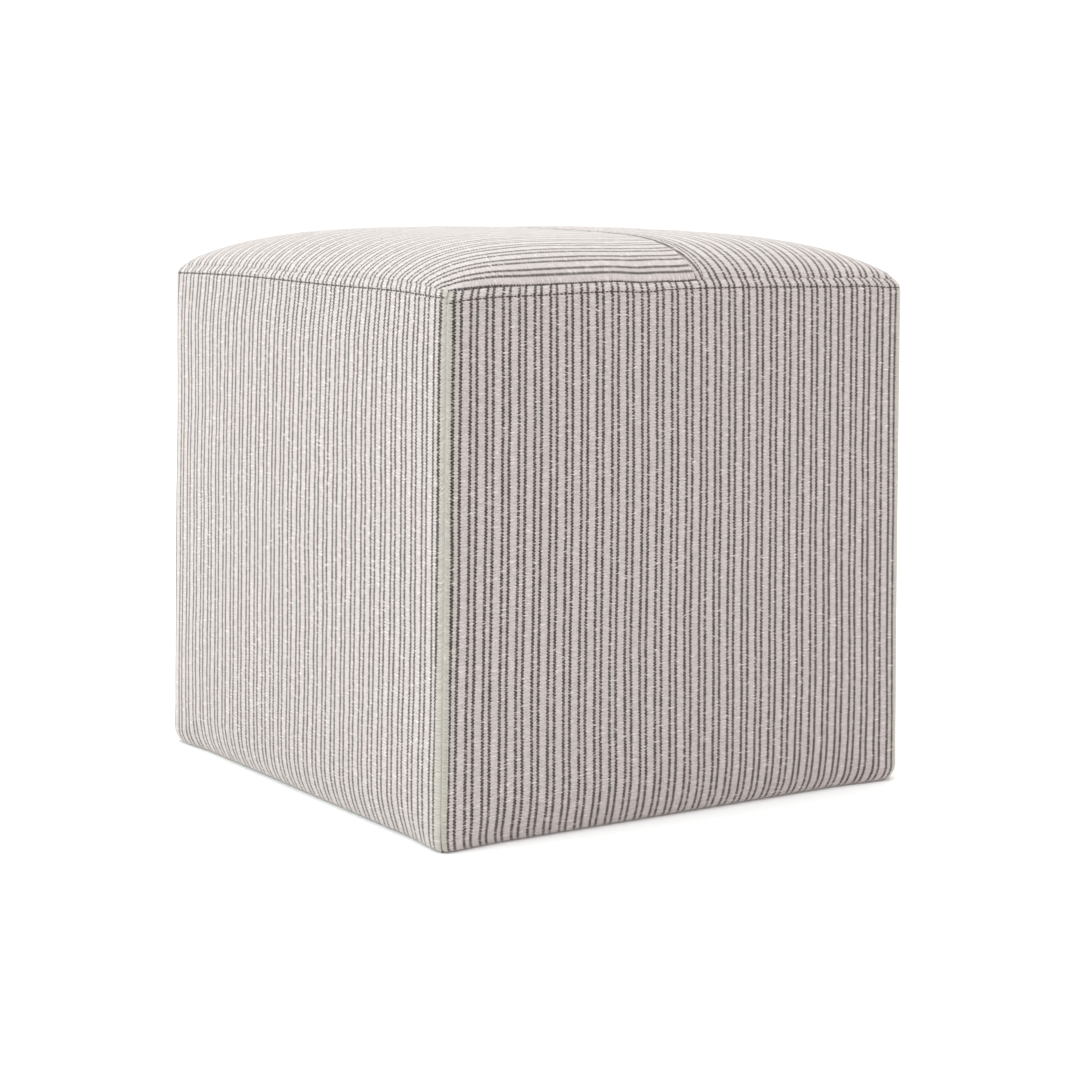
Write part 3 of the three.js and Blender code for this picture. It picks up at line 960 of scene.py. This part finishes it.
# %% Stitches
STITCH_PITCH, STITCH_LENGTH = 3.4, 3.1  # mm
THREAD = 0.55                           # mm, radius
STITCH_SIDES = 6
STITCH_SECTIONS = [  # place along the stitch, share of the thread's radius, height above the groove
    (0.0, 0.25, -0.35),
    (0.2, 0.9, 0.05),
    (0.5, 1.0, 0.18),
    (0.8, 0.9, 0.05),
    (1.0, 0.25, -0.35),
]


def read_along(values, lengths, at):
    """The point or direction at a length along a line."""
    return np.array([np.interp(at, lengths, values[:, i]) for i in range(3)])


def stitch_section(line, outward, lengths, start, section):
    """Corners of one section of the stitch that starts at this length along the line."""
    share, thick, height = section
    at = start + share * STITCH_LENGTH
    centre, up = read_along(line, lengths, at), read_along(outward, lengths, at)
    ahead = read_along(line, lengths, at + 0.5) - centre
    side_way = np.cross(ahead, up)
    side_way, up = side_way / np.linalg.norm(side_way), up / np.linalg.norm(up)
    corners = []
    for angle in np.arange(STITCH_SIDES) * math.pi / (STITCH_SIDES / 2):
        bar = THREAD * thick * (math.cos(angle) * side_way + math.sin(angle) * up)
        corners.append((centre + up * height + bar) * MM)
    return corners


def stitch_faces(first):
    """Faces of the stitch whose corners start at the number first: two ends, and bands between."""
    sides = range(STITCH_SIDES)
    last = first + STITCH_SIDES * (len(STITCH_SECTIONS) - 1)
    faces = [[first + c for c in sides], [last + c for c in reversed(sides)]]
    for low in range(first, last, STITCH_SIDES):
        high = low + STITCH_SIDES
        for c in sides:
            beside = (c + 1) % STITCH_SIDES
            faces.append([low + c, high + c, high + beside, low + beside])
    return faces


def stitches(name, lines):
    """Small bars of thread along lines of points."""
    vertices, faces = [], []
    for line, outward in lines:
        steps = np.linalg.norm(np.diff(line, axis=0), axis=1)
        lengths = np.concatenate([[0], np.cumsum(steps)])
        for start in np.arange(1.5, lengths[-1] - STITCH_PITCH, STITCH_PITCH):
            faces += stitch_faces(len(vertices))
            for section in STITCH_SECTIONS:
                vertices += stitch_section(line, outward, lengths, start, section)
    mesh = bpy.data.meshes.new(name)
    mesh.from_pydata([tuple(v) for v in vertices], [], faces)
    mesh.polygons.foreach_set("use_smooth", [True] * len(faces))
    mesh.update()
    thread = bpy.data.objects.new(name, mesh)
    bpy.context.scene.collection.objects.link(thread)
    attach(thread, "root")
    return thread


print("a stitch has", len(stitch_faces(0)), "faces")

# %% Lines of stitches
def away_from_middle(line):
    """Outward direction along a line round the cover."""
    out = line * np.array([1, 1, 0])
    return out / np.linalg.norm(out, axis=1, keepdims=True)


round_lines = []
for name, side in SIDES.items():
    straight_out = turned(np.array([0, -1.0, 0]), side["turn"])
    line = stitch_lines[name]
    along = np.linspace(-1, 1, len(line))[:, None]
    corner_out = away_from_middle(line)
    near_corner = smooth_step(np.abs(along), 0.9, 1.0)
    round_lines.append((line, between(straight_out, corner_out, near_corner)))
upward = np.broadcast_to([0.0, 0.0, 1.0], stitch_lines["centre"].shape)
threads = [
    stitches("topstitching", round_lines),
    stitches("centre_topstitching", [(stitch_lines["centre"], upward)]),
]
print("stitches:", {t.name: len(t.data.polygons) // len(stitch_faces(0)) for t in threads})

# %% [markdown]
# ## Base
# The base is a plain square of strong cloth, sewn inside the lower edges. It lies on the
# floor, so a thin slab with rounded corners and small bevels is all that it needs.

# %% Base
import bmesh

BASE_HALF = half_width(0.0) - LOWER_EDGE_INSET - GAP


def rounded_square(half, radius, steps=8):
    outline = []
    for quarter in range(4):
        for step in range(steps + 1):
            angle = math.pi / 2 * (quarter + step / steps)
            towards = np.array([1 if quarter in (0, 3) else -1, 1 if quarter < 2 else -1])
            centre = (half - radius) * towards
            outline.append(centre + radius * np.array([math.cos(angle), math.sin(angle)]))
    return outline


slab = bmesh.new()
ring = [slab.verts.new((x * MM, y * MM, 0)) for x, y in rounded_square(BASE_HALF, CORNER_RADIUS)]
bottom = slab.faces.new(ring[::-1])
lifted = bmesh.ops.extrude_face_region(slab, geom=[bottom])
raised = [v for v in lifted["geom"] if isinstance(v, bmesh.types.BMVert)]
bmesh.ops.translate(slab, verts=raised, vec=(0, 0, BASE_CLOTH * MM))
bmesh.ops.recalc_face_normals(slab, faces=slab.faces)
rim = [e for e in slab.edges if e.verts[0].co.z == e.verts[1].co.z]
bmesh.ops.bevel(slab, geom=rim, offset=0.6 * MM, segments=2, affect="EDGES")
base_mesh = bpy.data.meshes.new("base_cloth")
slab.to_mesh(base_mesh)
slab.free()
base = bpy.data.objects.new("cloth_base", base_mesh)
bpy.context.scene.collection.objects.link(base)
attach(base, "root")
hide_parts("base_panel")
print("base", round(2 * BASE_HALF, 1), "mm square")

# %% [markdown]
# ## The ticking
# The cover is a slubby cotton and linen ticking in plain weave, cream with pairs of thin
# charcoal stripes. Such a weave has no gloss, a little fuzz that lightens it at low angles,
# and yarns of uneven thickness: thick places, slubs, show as short light dashes across the
# stripes. A stripe is two dark warp yarns, which show in turn as they pass over the weft,
# so its edge is a zigzag. An image could hold all this, but nodes keep it sharp at any size.

# %% Ticking, and the yarns that it is woven from
STRIPE_PITCH = 14.17  # mm, from one pair of stripes to the next
PAIR_SPACING = 5.75   # mm, between the two stripes of a pair
PICK = 2.5            # mm for two weft picks; real ones are nearer 2, and wouldn't show

ticking = new_material(
    "slubby_cotton_ticking", Roughness=0.92, IOR=1.46, Specular_IOR_Level=0.25,
    Sheen_Weight=0.5, Sheen_Roughness=0.5, Sheen_Tint=rgb("#fffaf5"))
place = add(ticking, "Attribute", {"attribute_name": "cloth_mm"}).outputs["Vector"]
axes = add(ticking, "SeparateXYZ", Vector=place)
woven = {"across": axes.outputs["X"], "along": axes.outputs["Y"], "panel": axes.outputs["Z"]}

SPOTS = {
    # mm across and along the stripes, detail, roughness, and where the noise starts
    "stray": (22, 90, 2.0, 0.5, 0.0),      # warp yarns stray slowly
    "shake": (5, 3.2, 2.0, 0.5, 5.0),      # and shake a little
    "rib": (11, 1.35, 2.0, 0.65, 23.0),    # thick and thin weft yarns
    "lump": (7.0, 1.25, 1.0, 0.5, 11.0),   # thick places of a weft yarn
    "thread": (1.3, 1.0, 1.0, 0.5, 31.0),  # single crossings of two yarns
    "patch": (38, 30, 3.0, 0.5, 47.0),     # lighter and darker areas
    "wear": (4.0, 7.0, 2.0, 0.7, 59.0),    # worn places of the dark yarns
}
for name, (wide, long, detail, roughness, start) in SPOTS.items():
    sized = add(ticking, "Mapping", Vector=place, Scale=(1 / wide, 1 / long, 1.0), Location=(start, start, 0))
    spots = add(ticking, "TexNoise", Vector=sized.outputs["Vector"],
                Scale=1.0, Detail=detail, Roughness=roughness)
    woven[name] = spots.outputs["Fac"]
print("spots of the weave:", ", ".join(SPOTS))

# %% [markdown]
# Every part of the weave is worked out in small steps, and each step is one node. They are
# written as tables with a row for each: its name, what it does, and what it works on, which
# is the name of an earlier step or a number. SOFT_STEP is 0 below the first number, 1 above
# the second, and smooth between. Wiring the nodes by hand would hide this order.

# %% Steps of the stripes
STRIPE_STEPS = [
    # pairs of stripes, which stray as warp yarns do
    ("strayed", "MULTIPLY_ADD", "stray", 1.6, -0.8),
    ("shaken", "MULTIPLY_ADD", "shake", 0.5, -0.25),
    ("strayed_place", "ADD", "across", "strayed"),
    ("warp_place", "ADD", "strayed_place", "shaken"),
    ("from_pair", "PINGPONG", "warp_place", STRIPE_PITCH / 2),
    ("from_stripe", "SUBTRACT", "from_pair", PAIR_SPACING / 2),
    # the two dark yarns of a stripe show in turn, one on each pick
    ("uneven_pick", "MULTIPLY", "thread", 1.4),
    ("pick_place", "MULTIPLY_ADD", "along", 2 * math.pi / PICK, "uneven_pick"),
    ("picks", "SINE", "pick_place"),
    ("swing", "MULTIPLY", "picks", 1.8),
    ("swing_left", "MAXIMUM", "swing", -0.8),
    ("yarn_side", "MINIMUM", "swing_left", 0.8),
    ("beside_yarn", "SUBTRACT", "from_stripe", "yarn_side"),
    ("from_yarn", "ABSOLUTE", "beside_yarn"),
    ("off_yarn", "SOFT_STEP", "from_yarn", 0.5, 1.05),
    ("yarn", "SUBTRACT", 1.0, "off_yarn"),
    # and a softer grey lies between them
    ("from_middle", "ABSOLUTE", "from_stripe"),
    ("off_stripe", "SOFT_STEP", "from_middle", 0.65, 1.35),
    ("on_stripe", "SUBTRACT", 1.0, "off_stripe"),
    ("grey", "MULTIPLY", "on_stripe", 0.85),
    ("stripe", "MAXIMUM", "yarn", "grey"),
    # thick weft yarns and slubs cover part of the stripe
    ("slub", "SOFT_STEP", "lump", 0.62, 0.72),
    ("thick_weft", "SOFT_STEP", "rib", 0.5, 0.68),
    ("beside_weft", "MULTIPLY_ADD", "thick_weft", -0.4, 1.0),
    ("beside_slub", "MULTIPLY_ADD", "slub", -0.7, 1.0),
    ("woven_stripe", "MULTIPLY", "stripe", "beside_weft"),
    ("dark_share", "MULTIPLY", "woven_stripe", "beside_slub"),
    ("faded_share", "SOFT_STEP", "wear", 0.42, 0.72),
]
print("steps of the stripes:", len(STRIPE_STEPS))

# %% Steps of the ground and of the relief
GROUND_STEPS = [
    ("raised_weft", "SOFT_STEP", "rib", 0.38, 0.62),
    ("pale_thread", "SOFT_STEP", "thread", 0.4, 0.65),
    ("pale_threads", "MULTIPLY", "pale_thread", 0.4),
    ("dull_patch", "SOFT_STEP", "patch", 0.35, 0.65),
    ("dull_patches", "MULTIPLY", "dull_patch", 0.3),
    ("off_pair", "SOFT_STEP", "from_pair", 1.2, 2.6),
    ("in_pair", "SUBTRACT", 1.0, "off_pair"),
    ("shaded_pair", "MULTIPLY", "in_pair", 0.15),
    ("pale_slubs", "MULTIPLY", "slub", 0.8),
    # beside the upright corners the colour is tinted a pale green-yellow; the top's panels are the last two
    ("from_panel_middle", "ABSOLUTE", "across"),
    ("at_border", "SOFT_STEP", "from_panel_middle", 212.0, 217.0),
    ("on_side", "LESS_THAN", "panel", PANEL_STEP * (len(SIDES) - 0.5)),
    ("at_corner", "MULTIPLY", "at_border", "on_side"),
]
RELIEF_STEPS = [
    ("slub_rise", "MULTIPLY", "slub", 0.5),
    ("weft_rise", "MULTIPLY_ADD", "rib", 0.9, "slub_rise"),
    ("thread_rise", "MULTIPLY", "thread", 0.45),
    ("weft_and_thread", "ADD", "weft_rise", "thread_rise"),
    ("pick_rise", "MULTIPLY", "picks", 0.06),
    ("relief", "ADD", "weft_and_thread", "pick_rise"),
]
SOFT_STEP = ("MapRange", {"interpolation_type": "SMOOTHSTEP"})
for name, operation, *inputs in STRIPE_STEPS + GROUND_STEPS + RELIEF_STEPS:
    kind, settings = SOFT_STEP if operation == "SOFT_STEP" else ("Math", {"operation": operation})
    values = {f"_{number}": woven.get(value, value) for number, value in enumerate(inputs)}
    woven[name] = add(ticking, kind, settings, **values).outputs[0]
print("nodes of the ticking:", len(ticking.node_tree.nodes))

# %% Colours of the ticking
CREAM, SHADE, SLUB, DULL = "#b7acaa", "#9e9492", "#dad1ce", "#aca3a2"
# a pale green-yellow tint for the cloth beside the upright corners
CORNER_TINT = "#f0f6ec"                   # multiplies the colour below it
CHARCOAL, FADED = "#170b09", "#34211d"
GROUND_LAYERS = [
    ("raised_weft", CREAM, "MIX"),
    ("pale_threads", SLUB, "MIX"),
    ("dull_patches", DULL, "MIX"),
    ("shaded_pair", SHADE, "MIX"),
    ("pale_slubs", SLUB, "MIX"),
    ("at_corner", CORNER_TINT, "MULTIPLY"),
]
ground = rgb(SHADE)
for where, tone, blend in GROUND_LAYERS:
    layer = add(ticking, "Mix", {"data_type": "RGBA", "blend_type": blend},
                _0=woven[where], _6=ground, _7=rgb(tone))
    ground = layer.outputs[2]
dark = add(ticking, "Mix", {"data_type": "RGBA"}, _0=woven["faded_share"], _6=rgb(CHARCOAL), _7=rgb(FADED))
cloth = add(ticking, "Mix", {"data_type": "RGBA"}, _0=woven["dark_share"], _6=ground, _7=dark.outputs[2])
bump = add(ticking, "Bump", Height=woven["relief"], Distance=0.35 * MM, Strength=0.8)
drive(ticking, Base_Color=cloth.outputs[2], Normal=bump.outputs["Normal"])
for piece in cover.values():
    piece.data.materials.append(ticking)
print("ticking with stripes every", STRIPE_PITCH, "mm, in pairs", PAIR_SPACING, "mm apart")

# %% Thread
# a matt brown-grey polyester thread, darkened beyond its own colour as painted shade for the shadow in its
# groove
sewing_thread = new_material("dark_thread_with_painted_groove_shade", Base_Color=rgb("#463d38"), Roughness=0.8)
for thread_piece in threads:
    thread_piece.data.materials.append(sewing_thread)
print("thread in", len(threads), "rows of stitches")

# %% Base cloth
BASE_SPOTS = 900.0   # to the metre, about 1.1 mm each, as coarse as its yarns
base_cloth = new_material("plain_base_cloth", Roughness=0.95)
base_place = add(base_cloth, "TexCoord").outputs["Object"]
base_spots = add(base_cloth, "TexNoise", Vector=base_place, Scale=BASE_SPOTS, Detail=2.0)
shades = add(base_cloth, "ValToRGB", Fac=base_spots.outputs["Fac"])
for stop, tone in zip(shades.color_ramp.elements, ("#5f5a55", "#7b756f")):
    stop.color = rgb(tone)
base_bump = add(base_cloth, "Bump", Height=base_spots.outputs["Fac"], Distance=0.2 * MM, Strength=0.6)
drive(base_cloth, Base_Color=shades.outputs["Color"], Normal=base_bump.outputs["Normal"])
base.data.materials.append(base_cloth)
print("materials:", [m.name for m in bpy.data.materials if m.users])

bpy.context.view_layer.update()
for name, box in (("solids", solid_box), ("visual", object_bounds())):
    print(name, [[round(v, 4) for v in corner] for corner in box])
